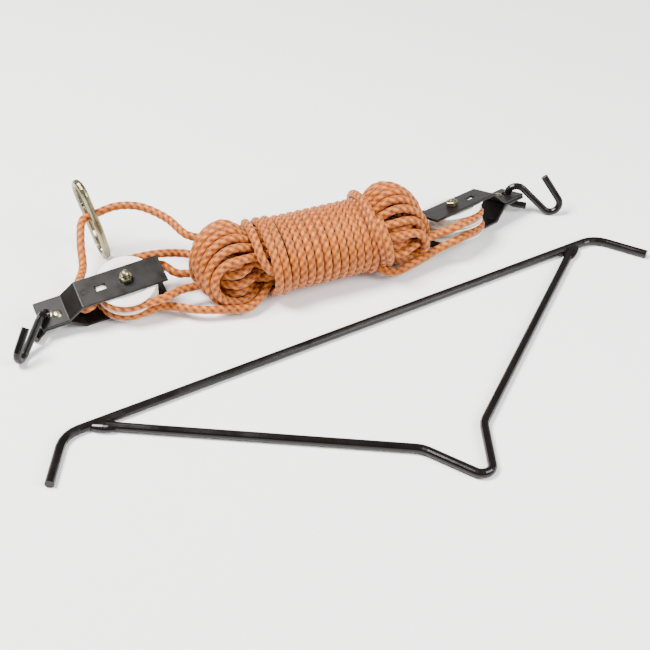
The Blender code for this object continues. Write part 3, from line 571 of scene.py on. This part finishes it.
def rope_material():
    look = Shading("orange_rope")
    # Colour by braid height: the dark valley colour is painted shade in the creases between the yarns, and
    # the bright crown colour is a painted highlight on the yarns' tops.
    colour = look.ramp(look.attribute(ATTRIBUTE_LAY), (0.28, (0.11, 0.020, 0.001)),
                       (0.64, (0.38, 0.092, 0.003)), (0.98, (0.70, 0.235, 0.012)))
    yarn = look.ramp(look.attribute(ATTRIBUTE_TINT), (0.0, (0.90, 0.90, 0.90)), (1.0, (1.0, 1.0, 1.0)))
    colour = look.mix(1.0, colour, yarn, "MULTIPLY")
    patches = look.ramp(look.noise(26.0, 3.0), (0.35, (0.86, 0.80, 0.74)), (0.65, (1.0, 1.0, 1.0)))
    colour = look.mix(0.8, colour, patches, "MULTIPLY")
    fibre = look.noise(1700.0, 2.0)
    strands = look.ramp(fibre, (0.3, (0.84, 0.80, 0.76)), (0.7, (1.0, 1.0, 1.0)))
    look.wire(look.mix(0.7, colour, strands, "MULTIPLY"), "Base Color")
    look.wire(look.span(fibre, 0.3, 0.7, 0.48, 0.68), "Roughness")
    look.wire(look.bump(fibre, 0.35, 0.0002), "Normal")
    look.set(Specular_IOR_Level=0.3, Sheen_Weight=0.12, Sheen_Roughness=0.5)
    return look.material


def enamel_material(name, tone, shine):
    """Dipped black enamel: a faint orange peel, duller dust patches and rubbed spots."""
    look = Shading(name)
    patches = look.noise(14.0, 5.0, 0.6)
    rubbed = look.span(look.noise(190.0, 6.0, 0.7), 0.66, 0.74)
    colour = look.ramp(patches, (0.35, tuple(0.75 * v for v in tone)), (0.7, tuple(1.45 * v for v in tone)))
    look.wire(look.mix(rubbed, colour, (0.032, 0.027, 0.024)), "Base Color")
    look.wire(look.span(look.noise(60.0, 4.0), 0.3, 0.7, shine - 0.06, shine + 0.12), "Roughness")
    peel = look.bump(look.noise(520.0, 2.0), 0.25, 0.00012)
    look.wire(look.bump(patches, 0.12, 0.0006, peel), "Normal")
    look.set(Specular_IOR_Level=0.28)
    return look.material


def zinc_material():
    """Bright zinc plate with a faint yellow passivate and fine drawing lines."""
    look = Shading("zinc_plate")
    tint = look.ramp(look.noise(38.0, 4.0), (0.32, (0.15, 0.13, 0.060)), (0.5, (0.27, 0.245, 0.15)),
                     (0.68, (0.18, 0.165, 0.12)))
    spots = look.span(look.noise(240.0, 5.0, 0.65), 0.64, 0.76)
    look.wire(look.mix(spots, tint, (0.10, 0.08, 0.05)), "Base Color")
    lines = look.noise(620.0, 3.0, 0.6, look.stretch((1.0, 1.0, 0.12)))
    look.wire(look.span(lines, 0.3, 0.7, 0.2, 0.36), "Roughness")
    look.wire(look.bump(lines, 0.12, 0.0001), "Normal")
    look.set(Metallic=0.95)
    return look.material


def nylon_material():
    """Natural nylon with faint mould mottling and rope dust."""
    look = Shading("natural_nylon")
    tone = look.ramp(look.noise(30.0, 4.0), (0.3, (0.76, 0.71, 0.64)), (0.7, (0.88, 0.85, 0.80)))
    dust = look.span(look.noise(140.0, 6.0, 0.7), 0.6, 0.78)
    look.wire(look.mix(dust, tone, (0.72, 0.56, 0.44)), "Base Color")
    look.wire(look.span(look.noise(320.0, 3.0), 0.3, 0.7, 0.36, 0.52), "Roughness")
    look.wire(look.bump(look.noise(700.0, 2.0), 0.12, 0.0001), "Normal")
    look.set(Subsurface_Weight=0.12, Subsurface_Scale=0.004)
    return look.material


def floor_material():
    look = Shading("pale_floor")
    look.wire(look.ramp(look.noise(3.0, 3.0), (0.3, (0.94, 0.94, 0.94)), (0.7, (0.96, 0.96, 0.96))),
              "Base Color")
    look.set(Roughness=0.8, Specular_IOR_Level=0.1)
    return look.material


def finish_nodes():
    """Every CAD node that shows gets its own finish."""
    rod = enamel_material("rod_enamel", (0.0030, 0.0019, 0.0016), 0.20)
    plate = enamel_material("plate_enamel", (0.0050, 0.0038, 0.0033), 0.32)
    hook = enamel_material("hook_enamel", (0.0030, 0.0020, 0.0018), 0.20)
    zinc = zinc_material()
    nylon = nylon_material()
    for name, item in NODES.items():
        if name.startswith("rope"):
            continue
        if name.startswith(("gambrel", "weld")):
            finish = rod
        elif "plate" in name or "becket" in name:
            finish = plate
        elif name.endswith("s_hook"):
            finish = hook
        elif "_sheave_upper" in name or "_sheave_lower" in name:
            finish = nylon
        else:
            finish = zinc
        item.data.shade_smooth()
        item.data.set_sharp_from_angle(angle=math.radians(SMOOTH_ANGLE))
        item.data.materials.clear()
        item.data.materials.append(finish)


# ---------------------------------------------------------------- camera, light and floor
def build_camera():
    data = bpy.data.cameras.new("camera")
    data.lens = 66.46
    data.sensor_width = 36.0
    camera = bpy.data.objects.new("camera", data)
    bpy.context.scene.collection.objects.link(camera)
    place = Vector((-0.4349, -0.7281, 0.6956))
    target = Vector((-0.0185, -0.0011, 0.0))
    camera.location = place
    camera.rotation_euler = (target - place).to_track_quat("-Z", "Y").to_euler()
    bpy.context.scene.camera = camera


def area_light(name, place, target, size, power, colour=(1.0, 1.0, 1.0)):
    data = bpy.data.lights.new(name, "AREA")
    data.shape = "DISK"
    data.size = size
    data.energy = power
    data.color = colour
    lamp = bpy.data.objects.new(name, data)
    bpy.context.scene.collection.objects.link(lamp)
    lamp.location = place
    direction = Vector(target) - Vector(place)
    lamp.rotation_euler = direction.to_track_quat("-Z", "Y").to_euler()


def build_stage():
    world = bpy.data.worlds.new("studio")
    world.use_nodes = True
    backdrop = world.node_tree.nodes["Background"]
    backdrop.inputs["Color"].default_value = (1.0, 1.0, 1.0, 1.0)
    backdrop.inputs["Strength"].default_value = 0.45
    bpy.context.scene.world = world
    half = 4.0
    mesh = bpy.data.meshes.new("floor")
    corners = [(-half, -half, 0.0), (half, -half, 0.0), (half, half, 0.0), (-half, half, 0.0)]
    mesh.from_pydata(corners, [], [(0, 1, 2, 3)])
    mesh.materials.append(floor_material())
    floor = bpy.data.objects.new("floor", mesh)
    bpy.context.scene.collection.objects.link(floor)
    area_light("key", (-0.9, 0.5, 1.9), (0.0, 0.0, 0.0), 1.0, 150.0, (1.0, 0.98, 0.95))
    area_light("fill", (0.9, -1.4, 1.3), (0.0, 0.0, 0.0), 1.4, 75.0)


# ---------------------------------------------------------------- rope pieces
def build_rope(material):
    route = Route()
    falls(route)
    tall_loops(route, flat_loops(route))
    wraps(route)
    points, freedom = route.finish(ROUTE_STEP)
    points = settle(points, freedom)
    path = through(points * MM + HOIST_PLACE, BRAID_STEP)
    rope = braided_tube("braided_rope", path, material)
    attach(rope, "tackle")
    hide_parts("rope_hank", "rope_left_upper", "rope_left_lower", "rope_right_upper",
                "rope_right_lower", "rope_dead_end_strand")
    return rope, path


def build_becket_eye(material):
    """The rope's dead end, made fast round the pin in the throat of the left block."""
    angles = np.radians(np.linspace(8.0, 352.0, 40))
    ring = [block_point("left", (BECKET_PIN_X + KNOT_RING_RADIUS * math.cos(a),
                                 KNOT_RING_RADIUS * math.sin(a), 0.0)) for a in angles]
    eye = braided_tube("becket_eye", through(np.array(ring) * MM + HOIST_PLACE, BRAID_STEP), material)
    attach(eye, "tackle")
    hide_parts("rope_becket_loop")
    return eye


build_camera()
build_stage()
finish_nodes()
orange = rope_material()
becket_eye = build_becket_eye(orange)
rope_piece, rope_path = build_rope(orange)
